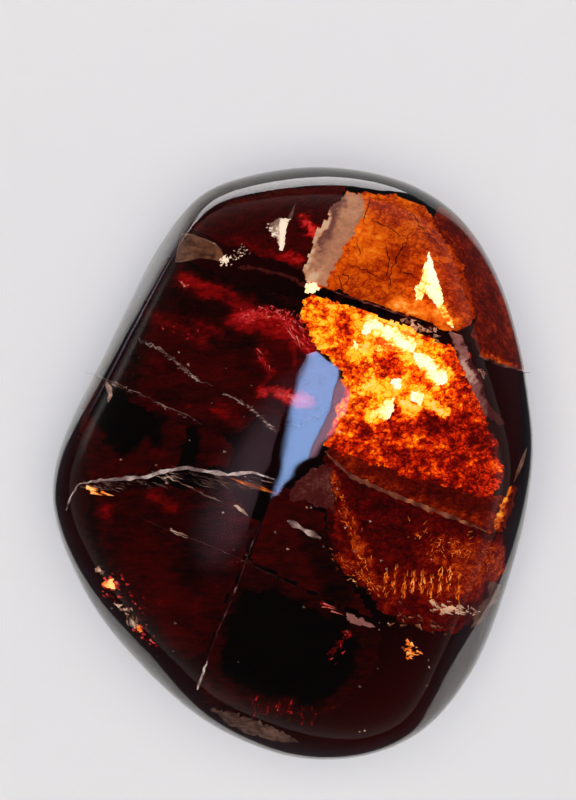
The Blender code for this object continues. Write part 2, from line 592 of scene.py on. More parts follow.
ember = glowing_finish(
    "ember", grain=0.3, contrast=0.22, strength=0.5, veins=0.06, stretch=3.0,
    stops=[
        (0, (0, 0, 0)), (0.15, (0.02, 0, 0)), (0.35, (0.08, 0.0005, 0.001)),
        (0.55, (0.4, 0.004, 0.012)), (0.75, (1, 0.09, 0.17)), (1, (1, 0.7, 0.9)),
    ],
)
gold = glowing_finish(
    "gold", grain=0.5, contrast=0.6, strength=1.2,
    stops=[(0.1, (0.1, 0.015, 0)), (0.5, (0.75, 0.22, 0.02)), (1, (1, 0.9, 0.45))],
)

# %% [markdown]
# ## Frost, silver and shade
#
# Cracks near the polished face aren't reddened by the crystal, so they are grey, tan, rosy or
# silver. Real mirrors would flash in one view and vanish in the next, so a weak glow, which is a
# painted reflection, and a little sheen stand for them. The dark veil paints the shade of cracks on
# edge and doesn't glow.

# %% The finishes of the pale flaws
frosted = glowing_finish(
    "frosted", grain=0.3, contrast=0.15, strength=0.65, veins=0.05,
    stops=[
        (0, (0.02, 0.006, 0.004)), (0.3, (0.2, 0.09, 0.1)), (0.6, (0.6, 0.36, 0.27)),
        (1, (1, 0.95, 0.85)),
    ],
)
rose = glowing_finish(
    "rose", grain=0.25, contrast=0.15, strength=0.4, veins=0.1,
    stops=[
        (0, (0.02, 0.003, 0.006)), (0.3, (0.12, 0.022, 0.032)), (0.6, (0.5, 0.28, 0.35)),
        (1, (1, 0.92, 0.97)),
    ],
)
silver = glowing_finish(
    "silver", grain=0.4, contrast=0.7, strength=0.55, sheen=0.5,
    stops=[(0.1, (0.02, 0.006, 0.01)), (0.5, (0.3, 0.22, 0.24)), (1, (1, 0.95, 0.98))],
)
pale = glowing_finish(
    "pale_facet", grain=0.5, contrast=0.4, strength=0.9, veins=0.1,
    stops=[(0, (0.01, 0.002, 0.002)), (0.45, (0.2, 0.13, 0.12)), (1, (1, 0.97, 0.9))],
)
veil = glowing_finish(
    "dark_veil", grain=2.5, contrast=0.5, strength=0.0, crisp=0.1, sheen=0.0,
    stops=[(0, (0, 0, 0)), (0.5, (0.12, 0.001, 0.003)), (1, (0.4, 0.01, 0.02))],
)

# %% [markdown]
# ## The main feather
#
# The brightest glow in the stone, all painted light: a broad, granular feather to the right of the
# crest. Yellow runs through it from the upper left to the lower right, and it turns red towards the
# edge of the stone.
# Thousands of flakes could build it up, but they would merge into one ragged sheet, so it is one.

# %% The main feather
main = Flaws("main_feather", feather_fire)
main.sheet(
    [(0.9, 14), (1.6, 14.5), (4.5, 13.7), (9.2, 12), (13.5, 10.1), (15.1, 9.5), (15.8, 7.1),
     (16.6, 3.6), (17.6, 1), (18.1, -1.6), (16.8, -3.2), (14.6, -2.4), (12.1, -1.8), (10.1, -1.5),
     (8.6, -0.6), (6.4, 0), (2.6, 1.3), (3.5, 3.2), (4, 5.3), (4.2, 7.8), (2.5, 9.3), (0.7, 11.7)],
    depth=1.6, level=0.46,
    strokes=[
        (1.5, 13.5, 4, 10, 1.2, 1.5, 0.53), (17, 2, 8, 1.5, 1.5, 2.5, 0.3),
        (18, -3, 11, -1, 1.5, 2, 0.26), (16, 8, 16.5, 3, 0.8, 1.5, 0.3),
        (12.5, 3.6, 18.5, 0.8, 0.7, 1.1, 0.14), (5.5, 12.5, 5.5, 8, 0.8, 1.2, 0.5),
        (7.6, 11.8, 10.2, 9.9, 0.9, 0.5, 0.75), (10.5, 9.3, 12.9, 7.4, 0.6, 0.6, 0.75),
        (9, 6.9, 7, 4.1, 0.5, 0.6, 0.72), (10.9, 5.6, 9.9, 5, 0.5, 0.6, 0.72),
        (6, 11.2, 5.9, 9, 0.3, 0.6, 0.7), (11.5, 5, 13, 4.4, 0.2, 0.5, 0.78),
        (6.5, 8.2, 10.5, 7.6, 0.4, 0.8, 0.42), (7, 6.8, 8.2, 6.4, 0.4, 0.6, 0.74),
    ],
)
main.make()

# %% [markdown]
# ## The upper panel
#
# Above a dark crack lies a smoother panel, which glows amber brown as painted light. It could share
# the main feather's sheet, but it is deeper, flatter and finer in grain, so it is a sheet of its own.

# %% The upper panel
upper = Flaws("upper_panel", panel_fire)
upper.sheet(
    [(4.7, 23), (8.8, 22.8), (11.3, 21.6), (13.3, 19.1), (14.6, 17.1), (15.9, 14), (15.4, 12.4),
     (14, 11.1), (9.2, 12.9), (4.5, 14.6), (1.6, 15.3), (1, 16.1), (2.2, 19.1), (3.4, 21.3)],
    depth=1.9, level=0.5, terrace=0.2,
    strokes=[
        (5, 21, 9, 18, 1.5, 2, 0.62), (8, 22, 14.5, 16.5, 0.8, 1.5, 0.44),
        (15, 13, 13.5, 17.5, 0.8, 1.5, 0.38), (11, 18.5, 8.5, 15, 1, 2, 0.44),
        (4, 15.5, 9, 14, 0.5, 1, 0.5), (9, 13.4, 12.6, 13, 0.2, 0.8, 0.76),
        (11, 13, 13.5, 11.8, 0.2, 0.8, 0.66), (11.6, 16, 12.6, 17.6, 0.4, 0.6, 0.42),
    ],
)
upper.make()

# %% [markdown]
# ## The frosted edge
#
# The panel's left edge reaches up to the polished face and is frosted, pinkish tan with a bright
# rim, both glowing as painted light. Another colour on the panel wouldn't show that it lies higher,
# so it is a sheet just under the face. Two dull cracks of the same look, under the band and at the
# bevel, join it.

# %% The frosted edge
frost = Flaws("frosted_edge", frosted)
frost.sheet(
    [(4.9, 23.3), (6.2, 22.9), (6, 21), (4.9, 19.4), (3.9, 17.4), (2.9, 15.2), (1.2, 15.5),
     (0.9, 16.4), (1.5, 18), (1.9, 19.6), (3, 21.5), (4.2, 22.6)],
    depth=0.7, level=0.5, terrace=0.1,
    strokes=[
        (5.4, 23, 2.9, 16, 0.1, 1, 0.58), (4.2, 22.4, 1.9, 18.6, 0.2, 0.6, 0.28),
        (3, 21.5, 1, 16.6, 0.08, 0.3, 0.82), (2, 16.2, 1.4, 15.6, 0.3, 0.5, 0.8),
    ],
)
frost.crack(
    [(2.7, 0.9), (4.9, -1.2), (8, -2.6), (11, -3.8), (14, -4.9), (16.6, -6)],
    width=0.5, depth=1.3, level=0.3, jag=0.15, seed=98,
)
frost.crack([(15.9, 9.1), (17.8, 8.3), (19.7, 7.6)], width=0.25, depth=1.0, level=0.2, seed=97)
frost.make()

# %% [markdown]
# ## Dark hairlines
#
# Where a crack stands on edge it sends no light up and shows as a black line. Thin ones cross the
# upper panel, and a broad one parts it from the main feather. Veins in a finish have no fixed
# place, so each is a narrow strip of dark veil over the panel.

# %% The dark hairlines
lines = Flaws("dark_hairlines", veil)
hairlines = [
    [(6.7, 22.7), (6.1, 20.8), (6.4, 20.2)],
    [(6.7, 20.8), (8.4, 20.1), (9.8, 19.2)],
    [(10.5, 20.3), (9.7, 19), (9, 17.7), (8.5, 16.6), (8.3, 14.7)],
    [(8, 19), (8.3, 17.2), (8.1, 15.7)],
    [(4.9, 17.1), (6.2, 16.6), (7.7, 15.8)],
    [(3.9, 16.2), (4.4, 14.8)],
    [(4.2, 16.3), (4.9, 16), (4.6, 15.3)],
    [(10, 21.5), (11.2, 19.9), (12.9, 18.2)],
    [(5.4, 19.3), (5.9, 17.9)],
    [(9.5, 16.4), (11, 15.9)],
]
for number, path in enumerate(hairlines):
    lines.crack(path, width=0.1, depth=1.4, level=0.0, jag=0.25, seed=100 + number)
lines.crack(
    [(1.1, 15), (4.5, 14.1), (9.2, 12.5), (13.5, 10.9), (15.2, 10.1)],
    width=1.0, depth=1.4, level=0.05, jag=0.1, seed=99,
)
lines.make()

# %% [markdown]
# ## White fire
#
# The hottest spots are small steps close under the polished face. So little crystal lies over them
# that they look nearly white: a flame near the panel's corner, a plate where the panel, the feather
# and the dark crack meet, and patches down the main feather. Strokes on the sheets below would be
# soft, and small sheets of their own have crisp edges.

# %% The white fire
SMALL_FLAW = {"terrace": 0.1, "cell": 0.12}
flame = Flaws("white_fire", white_fire)
flame.sheet(
    [(11.7, 18.1), (12, 17.3), (12.4, 15.9), (12.9, 14.6), (12.9, 13.6), (13.6, 12.4), (13.9, 11.4),
     (13.2, 12), (12.5, 13.4), (11.9, 14.1), (11.3, 14.8), (11.1, 13.9), (10.6, 14), (10.5, 15),
     (11.1, 15.6), (11.2, 16.8)],
    depth=0.5, level=0.75, terrace=0.05, cell=0.12, ragged=0.12,
    strokes=[(11.7, 17.5, 12.5, 14, 0.25, 0.4, 1.05), (12.9, 13.2, 13.8, 11.5, 0.3, 0.4, 0.55)],
)
patches = [
    [(6.6, 12.1), (7.3, 12.5), (9, 11.6), (10.7, 10.8), (10.5, 9.7), (9.4, 9.4), (8.2, 9.7),
     (7, 9.5), (7.2, 10.4)],
    [(10.4, 9.6), (11.6, 9.2), (13.3, 8), (13.2, 6.7), (12.2, 6.6), (11.2, 7.6), (10.6, 8.6)],
    [(6.4, 12.2), (7, 12.1), (6.4, 10.9), (5.9, 11.2)],
    [(8.4, 5.3), (9, 5.8), (8.8, 4.7), (8.1, 3.6), (6.6, 3.8), (7.1, 4.5), (7.9, 5.2)],
    [(10.1, 6), (11.4, 6), (10.9, 4.9), (10.3, 5.2)],
    [(8.5, 7.1), (9.3, 7.3), (9.2, 6.2), (8.5, 6.5)],
    [(5.3, 10.6), (5.7, 10.3), (5.4, 9.4), (5, 9.8)],
]
for patch in patches:
    flame.sheet(
        patch, depth=0.45, level=0.5, **SMALL_FLAW, ragged=0.3,
        strokes=[(*patch[0], *patch[len(patch) // 2], 0.2, 0.6, 0.95)],
    )
flame.sheet(
    [(1, 15.4), (2.1, 15.4), (2.3, 14.9), (1.7, 14.5), (1.1, 14.6)],
    depth=0.6, level=1.0, terrace=0.05, cell=0.12, ragged=0.1,
)
flame.make()

# %% [markdown]
# ## The lower feather
#
# Below the main feather lies a deeper one, glowing dark red in the middle and golden towards its
# rim, as painted light. It lies under more crystal, so it has its own, darker finish, and soft
# strokes brighten its rim.

# %% The lower feather
lower = Flaws("lower_feather", deep_fire)
lower.sheet(
    [(2.8, 0.7), (4.9, -1), (8, -2.3), (11, -3.5), (14, -4.7), (16.6, -5.8), (17.8, -6.2),
     (18.1, -9.3), (17.2, -10.4), (16.4, -11.8), (15.4, -13.3), (14, -14.5), (11.8, -14.8),
     (9.7, -14.1), (7.5, -12.8), (6.1, -11), (4.7, -9.9), (3.6, -8.5), (3, -7.6), (2.8, -5)],
    depth=1.9, level=0.14,
    strokes=[
        (6, -3, 10, -5, 1.5, 2, 0.15), (2.6, -4, 3.2, -8.2, 0.3, 0.9, 0.02),
        (3.2, -8.6, 8, -13.4, 0.3, 0.9, 0.02), (3.4, -0.9, 4.7, -4.9, 0.1, 0.5, 0.38),
        (4.7, -4.9, 6.6, -9.8, 0.15, 0.6, 0.42), (3.7, -4.5, 4.2, -8, 0.1, 0.5, 0.3),
        (4.4, -8.4, 7.8, -11.3, 0.2, 0.7, 0.34), (7.5, -10.8, 14.6, -11, 0.6, 1, 0.32),
        (8, -13, 13, -13.5, 0.6, 1, 0.24), (12, -7.6, 17, -8.2, 0.7, 1.2, 0.34),
        (14.5, -9, 17, -9.3, 0.8, 1, 0.38),
    ],
)
lower.make()

# %% [markdown]
# ## The smooth band
#
# Between the two feathers the crystal is nearly whole, a smooth, dark red band. Left out, it would
# be black, so it is a sheet with hardly any terrace and a low glow: painted light for the red that
# shines through the whole crystal there.

# %% The smooth band
band = Flaws("smooth_band", panel_fire)
band.sheet(
    [(3.3, 1.3), (6.4, 0.3), (8.6, -0.3), (10.1, -1.1), (12.1, -1.5), (14.6, -2.1), (16.8, -2.9),
     (18.1, -3), (17.8, -5.9), (16.6, -6.1), (14, -5), (11, -3.9), (8, -2.7), (4.9, -1.3),
     (2.8, 0.5)],
    depth=1.8, level=0.16, terrace=0.1,
    strokes=[(4.9, -1, 16.6, -5.5, 0.1, 0.5, 0.24), (12, -2.6, 17, -4, 0.3, 0.8, 0.1)],
)
band.make()

# %% [markdown]
# ## The glow under the right bevel
#
# The bevel at the upper right gathers light and glows brown, and a golden sliver glows lower down
# on that side. Glass alone would show this in one view only, so a dim sheet lies under the bevel
# and paints that light as a glow.

# %% The bevel's glow
bevel = Flaws("bevel_glow", panel_fire)
bevel.sheet(
    [(12.3, 21.8), (15.3, 19.8), (17.8, 15), (19.1, 10.5), (19.6, 7.9), (17.8, 8.3), (16.1, 9.1),
     (15.2, 11), (15.5, 13), (14.4, 16.8), (12, 20.5)],
    depth=1.6, level=0.14, terrace=0.1,
    strokes=[
        (15, 11.5, 11.8, 20.5, 0.5, 1.2, 0.24), (16.1, 9, 19.6, 7.8, 0.1, 0.5, 0.36),
        (17.3, 15.5, 18.8, 10.5, 0.2, 0.8, 0.2),
    ],
)
bevel.sheet(
    [(18.7, -2), (19.1, -2.2), (18.9, -3.6), (18.1, -5.5), (17.2, -6), (17.6, -4.2), (18.3, -2.6)],
    depth=1.0, level=0.12, **SMALL_FLAW,
    strokes=[(17.3, -5.6, 18.3, -2.6, 0.1, 0.3, 0.7)],
)
bevel.make()

# %% [markdown]
# ## Pale facets
#
# Here and there a small cleavage face lies just right to throw the light back, pale or ivory, often
# with sparks beside it; their glow is a painted highlight. It is a flat plate where its tilt can be
# seen, and a fine sheet where its edge is ragged, because one shape can't be both.

# %% The pale facets
facets = Flaws("pale_facets", pale)
facets.facet(
    [(-9.6, 19.6), (-8.4, 19.5), (-6.9, 18.9), (-6.1, 18.2), (-5.8, 17.2), (-7, 17.5), (-8, 17.6),
     (-9.6, 17.2), (-10.1, 17.2)],
    depth=1.2, level=0.3, rise=(0.12, -0.3),
)
facets.crack([(-9.6, 19.6), (-8.4, 19.5), (-6.9, 18.9), (-6.1, 18.3)], 0.12, 0.6, 0.4, seed=35)
facets.shards((-6.1, 17.4), (-5.5, 17.5), 0.16, 40, 0.28, 0.16, 0.3, 0.95, heading=50, seed=33)
facets.shards((-5.4, 17.6), (-3.8, 18.3), 0.22, 30, 0.16, 0.1, 0.3, 0.7, seed=34)
facets.shards((-1.9, 20.4), (-1.3, 19.4), 0.2, 50, 0.22, 0.14, 0.2, 0.9, fan=90, seed=36)
facets.sheet(
    [(-2, 20.6), (-1.3, 21), (-0.3, 21), (-0.5, 20.2), (-0.7, 19.2), (-0.9, 18.2), (-1.1, 18.3),
     (-1.4, 19.2), (-1.9, 19.8)],
    depth=0.4, level=0.5, terrace=0.1, cell=0.1, ragged=0.15,
    strokes=[(-0.6, 20.8, -0.9, 18.6, 0.25, 0.35, 1.1)],
)
facets.facet([(-0.5, 20.9), (0.25, 22.3), (0, 21.2), (-0.5, 20.3)], depth=0.8, level=0.26)
facets.sheet(
    [(17, -10.3), (17.7, -10.6), (17.4, -12.1), (16, -13.7), (15.2, -14.3), (15.4, -13.3),
     (16.4, -11.8)],
    depth=1.0, level=0.24, **SMALL_FLAW,
)
facets.sheet(
    [(-7.1, -21.1), (-5.9, -21.5), (-3.7, -21.9), (-1.6, -22.8), (0.5, -24), (-0.7, -24.1),
     (-3.3, -23.5), (-5.4, -22.5)],
    depth=0.7, level=0.16, terrace=0.1,
)
facets.facet(
    [(20.1, 1.3), (19.7, -0.2), (18.9, -1.8), (19.1, -0.8), (19.7, 0.7)],
    depth=1.0, level=0.3, rise=(-1.2, 0),
)
facets.make()

# %% [markdown]
# ## Rose veils
#
# Right of the main feather a crack bends up towards the polished face and mirrors the light in a
# rosy streak, with a white core, which the rose finish paints as a glow: a painted reflection. A
# mauve one lies under the foot of the highlight, and thin ones cross the dark half, glowing as
# painted light. Plain strips would end too sharply, so the wide ones are sheets that fade.

# %% The rose veils
roses = Flaws("rose_veils", rose)
roses.sheet(
    [(13.5, 11.3), (14.5, 10.8), (15.2, 9.1), (16.1, 7.3), (16.7, 5.1), (18.2, 3.4), (17.8, 3.1),
     (16.6, 3.9), (15.6, 5.9), (14.8, 7.7), (14.1, 9.1)],
    depth=0.7, level=0.22, **SMALL_FLAW, ragged=0.15,
    strokes=[
        (14.6, 9.6, 15.4, 7, 0.1, 0.4, 0.9), (13.9, 11, 14.7, 9.4, 0.1, 0.5, 0.56),
        (15.6, 6.6, 16.4, 4.4, 0.1, 0.5, 0.48),
    ],
)
roses.shards((15.8, 8), (16.6, 7.2), 0.15, 16, 0.25, 0.12, 0.7, 0.7, seed=95)
roses.sheet(
    [(1.6, -0.3), (3.3, -0.5), (3.6, -4.3), (3, -4.2), (0.8, -3.2), (-0.3, -3.5), (-0.3, -2.8),
     (0.9, -1.4)],
    depth=1.0, level=0.3, terrace=0.2,
)
roses.sheet(
    [(4.5, -13), (5.3, -13.3), (6.5, -13.8), (7.5, -14.5), (6.3, -14.2), (4.9, -13.9),
     (4.5, -13.4)],
    depth=0.8, level=0.6, **SMALL_FLAW,
)
roses.sheet(
    [(-5.3, 17), (-3.5, 16.9), (-1.1, 16.4), (1.6, 15.5), (1.1, 15.2), (-0.7, 15.9), (-2.7, 16.5),
     (-4.6, 16.7)],
    depth=1.2, level=0.22, **SMALL_FLAW,
)
roses.crack(
    [(-2.7, -5.2), (-3.4, -6.8), (-4.1, -8.6), (-4.7, -10.4), (-5.4, -12.2), (-6.4, -14.4),
     (-7.2, -16.6), (-7.7, -17.8)],
    0.14, 0.5, 0.22, seed=7,
)
roses.crack(
    [(-13.2, -4.8), (-10.9, -5.9), (-8.6, -6.7), (-6.4, -7.6), (-4.2, -8.6), (-2, -9.7),
     (0.2, -10.8)],
    0.1, 0.6, 0.14, seed=5,
)
roses.shards((-5.5, -8), (-3.5, -8.6), 0.3, 12, 0.3, 0.2, 0.7, 0.3, seed=91)
roses.crack([(3.5, 14.7), (6, 13.9), (9.2, 12.8), (11, 12.1)], 0.2, 1, 0.35, seed=90)
roses.make()

# %% [markdown]
# ## Silver cracks
#
# A crack that reaches the polished face mirrors the lamps: the silver finish has a little real
# sheen, and its glow paints the rest of that reflection. The widest one waves across the left half
# of the stone, and others run down to the right, broken into dashes. A curve with a round bevel
# would look like wire. A flat strip whose width swells and fades looks like a crack, and flakes
# scattered along it give it its glitter, a painted glint.

# %% The silver cracks
cracks = Flaws("silver_cracks", silver)
cracks.crack([(-19.5, -4.2), (-19.1, -2.9), (-18.4, -1.9)], 0.2, 0.3, 0.5, seed=1)
cracks.crack(
    [(-18.4, -1.9), (-16.6, -1.6), (-13.9, -1.4), (-12.5, -1.3), (-11.5, -0.9), (-10.4, -0.7),
     (-9.3, -0.5), (-7.6, -0.8), (-5.6, -1.1), (-3.5, -0.9), (-1.6, -1.5)],
    0.42, 0.3, 0.55, jag=0.08, seed=2,
)
cracks.shards((-18, -2.1), (-12, -1.9), 0.2, 50, 0.7, 0.06, 0.5, 0.25, fan=12, seed=92)
cracks.shards((-11.5, -1.4), (-2, -2), 0.3, 90, 1, 0.06, 0.5, 0.28, fan=10, seed=93)
cracks.shards((-16, 12), (12, -20), 7, 70, 0.22, 0.2, 0.6, 0.5, seed=94)
cracks.crack([(-10.9, -1.3), (-8.9, -2.2), (-7.6, -2.9), (-6.1, -3.5)], 0.16, 0.8, 0.4, seed=3)
cracks.crack([(-5.1, -3.8), (-4.5, -4.1), (-3.9, -4.7)], 0.35, 0.8, 0.7, seed=4)
cracks.crack([(-10.6, -6), (-9.9, -6.2), (-9, -6.6)], 0.4, 0.8, 0.75, seed=6)
cracks.crack([(-7.4, -17.2), (-7.9, -18.7), (-8.2, -19.6)], 0.28, 0.4, 0.7, seed=8)
cracks.crack(
    [(-13.3, 10.5), (-11.4, 9.7), (-9.9, 8.5), (-9, 7.7), (-8, 6.9), (-6.9, 6.6)],
    0.1, 0.5, 0.3, jag=0.2, seed=9,
)
for number, (start, end) in enumerate([
    ((-13.3, 10.5), (-11.4, 9.7)), ((-11.4, 9.7), (-9.4, 8)), ((-9.4, 8), (-8, 6.9)),
    ((-5.9, 5.9), (-3.7, 4.7)), ((-3.7, 4.7), (-1.4, 2.6)), ((-17.3, 7.7), (-13.1, 5.8)),
    ((-13.1, 5.8), (-8.4, 3.5)),
]):
    cracks.shards(start, end, 0.08, 28, 0.28, 0.08, 0.3, 0.42, fan=25, seed=110 + number)
cracks.crack([(-0.5, -5.1), (0.5, -5.6), (1.3, -6.1), (2.4, -6.6)], 0.6, 0.5, 0.45, seed=18)
cracks.crack(
    [(-5.9, 5.9), (-4.7, 5.3), (-3.7, 4.7), (-2.5, 3.6), (-1.4, 2.6)],
    0.1, 0.5, 0.3, jag=0.2, seed=10,
)
cracks.crack(
    [(-17.3, 7.7), (-15.3, 6.8), (-13.1, 5.8), (-10.8, 4.7), (-9, 4), (-7.9, 3.2)],
    0.08, 0.5, 0.25, seed=11,
)
cracks.crack([(-15.9, 6.8), (-15.7, 5.8), (-15.9, 5.1)], 0.5, 0.7, 0.6, seed=12)
cracks.shards((10.1, 12.1), (12.7, 10.9), 0.25, 24, 0.5, 0.35, 1, 0.6, seed=13)
cracks.shards((12.1, -12.4), (15.6, -12.9), 0.22, 50, 0.6, 0.22, 0.8, 0.8, fan=25, seed=14)
cracks.shards((9, -13.5), (12.8, -14.5), 0.4, 40, 0.5, 0.2, 1.6, 0.35, seed=15)
cracks.shards((-15.2, -12.3), (-13.9, -12.8), 0.15, 10, 0.5, 0.3, 0.9, 0.6, seed=16)
cracks.shards((-13.9, -12.8), (-13.7, -14), 0.2, 14, 0.6, 0.35, 0.9, 0.55, heading=80, seed=17)
cracks.shards((-16.6, -9.2), (-16.3, -9.5), 0.1, 4, 0.8, 0.5, 0.9, 0.8, seed=18)
cracks.make()

# %% [markdown]
# ## The crimson feather
#
# Left of the crest a wide, deep sheet is nearly black, with soft crimson glows in it, all painted
# light: a streak under the upper crack, blotches at the left, a fan of fine fibres beside the main
# feather and a pink streak under the highlight. Strokes alone would look like smoke and fibres
# alone like hair, so it has both.

# %% The crimson feather
crimson = Flaws("crimson_feather", ember)
crimson.sheet(
    [(-10.9, 17.4), (-9.2, 17.4), (-6.5, 16.3), (-3.3, 15.3), (0.6, 14), (0.9, 12.3), (1.8, 10.2),
     (3, 9), (4.2, 7.6), (4.6, 5.8), (3.4, 4.2), (-1, 2.8), (-3, 3.6), (-6.5, 2), (-9, 3.4),
     (-14.3, 5.2), (-14.6, 8), (-13, 12.5)],
    depth=1.5, level=0.15, cell=0.2,
    strokes=[
        (-10, 8.6, -4.5, 5.2, 1.5, 2.5, 0.24), (-13.5, 7, -9.5, 5, 0.8, 1.5, 0.24),
        (-1, 8.5, 1.5, 7, 1, 2.5, 0.26), (-11, 17.8, 1, 13.5, 0.5, 0.8, 0.08),
        (-9.4, 15.8, -4, 13.5, 0.4, 0.8, 0.44), (-9.2, 15.9, -7.3, 15.1, 0.1, 0.5, 0.5),
        (-11.8, 12.3, -7.8, 10.6, 0.1, 1, 0.4), (-8.2, 11.9, -6.4, 11.2, 0.05, 0.7, 0.4),
        (-12, 8.6, -11.4, 8.3, 0.05, 0.6, 0.38), (-4.6, 12.3, -0.7, 11.6, 0.6, 0.8, 0.5),
        (-4.6, 12.5, -2.4, 12.9, 0.15, 0.5, 0.66), (-2.4, 12.9, 0.2, 12.2, 0.1, 0.5, 0.62),
        (-0.5, 12.2, 1.6, 9.9, 0.2, 0.7, 0.54), (-2.8, 9.5, -1.9, 7.6, 0.05, 0.5, 0.48),
        (-1.9, 7.6, -2.7, 6.3, 0.05, 0.5, 0.44), (0.1, 10.6, 0.3, 8.4, 0.05, 0.4, 0.44),
        (-2.6, 6.1, -0.6, 5.7, 0.15, 0.5, 0.6), (-0.8, 5.7, 1.4, 5.2, 0.25, 0.5, 0.66),
        (-6.5, 4.6, -5, 3.7, 0.3, 0.6, 0.42), (-8.9, 4.8, -9.3, 4.6, 0.05, 0.3, 0.38),
        (-14.6, 6, -13.2, 12.2, 0.3, 1.2, 0.08), (-13.2, 12.2, -10.9, 17.2, 0.2, 0.9, 0.08),
    ],
)
crimson.shards((-4.6, 12.2), (-2.4, 13), 0.3, 90, 0.28, 0.12, 1, 0.64, fan=60, seed=20)
crimson.shards((-2.4, 13), (0.2, 12.2), 0.3, 90, 0.3, 0.12, 1, 0.64, fan=60, seed=25)
crimson.shards((-0.3, 12.2), (1.5, 9.9), 0.35, 60, 0.6, 0.1, 1, 0.62, heading=-55, fan=20, seed=21)
crimson.shards((-1, 12), (0.6, 10.2), 0.1, 30, 0.9, 0.08, 0.9, 0.66, heading=-58, fan=8, seed=26)
crimson.shards((-3, 9.6), (-2, 7.4), 0.15, 24, 0.6, 0.08, 1, 0.6, heading=-65, fan=15, seed=19)
crimson.shards((-11.6, 12.3), (-8, 10.7), 0.3, 24, 0.25, 0.15, 1.2, 0.5, seed=24)
crimson.shards((-1, 5.7), (1.2, 5.2), 0.15, 30, 0.8, 0.1, 1.2, 0.75, fan=12, seed=23)
crimson.shards((-9.9, 16), (-9, 15.2), 0.2, 6, 0.25, 0.2, 1, 0.8, seed=22)
crimson.make()

# %% [markdown]
# ## Embers
#
# A wine-red sheet fills the top of the stone, and small red flakes and needles glow elsewhere:
# along the lower left rim, beside the long crack, and in soft ticks above the foot. The sheet's red
# and the flakes' glow are painted light. Scattering them round a line, with a seed, is quicker than
# placing each one and gives the same result each time.

# %% The embers
embers = Flaws("embers", ember)
embers.sheet(
    [(-8.6, 20.2), (-5.5, 22.2), (-1, 23.4), (4.6, 23.5), (3.4, 21.5), (2.6, 20), (1.9, 18.5),
     (1, 16.6), (-0.6, 17), (-3.4, 18.1), (-5.4, 18.6), (-7, 19.2)],
    depth=1.6, level=0.24,
    strokes=[
        (1.3, 20.6, 2.6, 19.5, 0.15, 0.6, 0.7), (-3.5, 18.5, -1, 17.9, 0.05, 0.7, 0.44),
        (-0.8, 17.6, 0.6, 17.5, 0.1, 0.6, 0.56), (-5, 19.2, -2.5, 19, 0.05, 0.5, 0.4),
    ],
)
embers.shards((4.9, -14.6), (3, -17.2), 0.25, 50, 0.35, 0.15, 1.4, 0.4, heading=60, fan=30, seed=28)
embers.shards((2.5, -12.3), (3.9, -12.9), 0.08, 8, 0.9, 0.12, 1, 0.75, fan=5, seed=29)
embers.shards((-15.6, -10.4), (-15.2, -11), 0.5, 50, 0.35, 0.25, 1.2, 0.6, seed=30)
embers.shards((-13.1, -14.4), (-11.8, -15.6), 0.3, 20, 0.3, 0.25, 1.2, 0.6, seed=31)
embers.shards((-14, -11.8), (-12.6, -14), 0.4, 20, 0.25, 0.2, 1.2, 0.5, seed=32)
for foot in range(6):
    spot = (-3.2 + foot, -20.3 - 0.2 * foot)
    embers.shards(
        spot, (spot[0] - 0.1, spot[1] - 1.3), 0.13, 14, 0.4, 0.22, 1.4, 0.28, heading=80, fan=12,
        seed=40 + foot,
    )
embers.make()

# %% [markdown]
# ## Golden threads and sparks
#
# Fine golden threads lie over the lower feather, as nine short columns and a mesh round them, and
# sparks glow at the lower left rim and near the foot; threads and sparks glow as painted light.
# Curves would need far more faces than scattered three-sided shards, which look the same at this
# size.

# %% The golden threads and sparks
threads = Flaws("golden_threads", gold)
for row in range(9):
    spot = (8.1 + 0.78 * row, -9.4 + 0.3 * math.sin(2.1 * row))
    threads.shards(
        spot, (spot[0] - 0.15, spot[1] - 2.2), 0.1, 26, 0.45, 0.11, 1, 0.36, heading=82, fan=14,
        seed=50 + row,
    )
threads.shards((11, -6.6), (17.2, -8.6), 0.7, 120, 0.4, 0.07, 1, 0.3, heading=60, fan=45, seed=70)
threads.shards((3.3, -1), (6.5, -9.8), 0.3, 110, 0.35, 0.07, 1, 0.34, heading=-60, fan=40, seed=76)
threads.shards(
    (3.4, -8.2), (7.8, -11.4), 0.35, 80, 0.35, 0.07, 1, 0.32, heading=-40, fan=40, seed=77,
)
threads.shards((9.9, -16.1), (10.7, -16.9), 0.28, 30, 0.35, 0.25, 1.2, 0.5, seed=71)
threads.shards((-15.7, -10.1), (-15.5, -10.7), 0.15, 14, 0.5, 0.45, 1, 0.9, heading=80, seed=72)
threads.shards((-13.3, -14.1), (-13, -14.6), 0.15, 8, 0.4, 0.3, 1, 0.5, seed=73)
threads.shards((-17.9, -2), (-16.9, -2.7), 0.15, 8, 0.9, 0.3, 0.9, 0.75, fan=8, seed=74)
threads.shards((-16.4, -2.7), (-15.6, -3), 0.12, 6, 0.8, 0.25, 0.9, 0.5, fan=8, seed=75)
for strand in range(9):
    spot = (-5.3 + 0.35 * strand, -1.4 - 0.1 * strand)
    threads.crack(
        [spot, (spot[0] + 1.4, spot[1] - 0.75)], 0.06, 0.8, 0.2, jag=0.04, seed=80 + strand,
    )
threads.make()
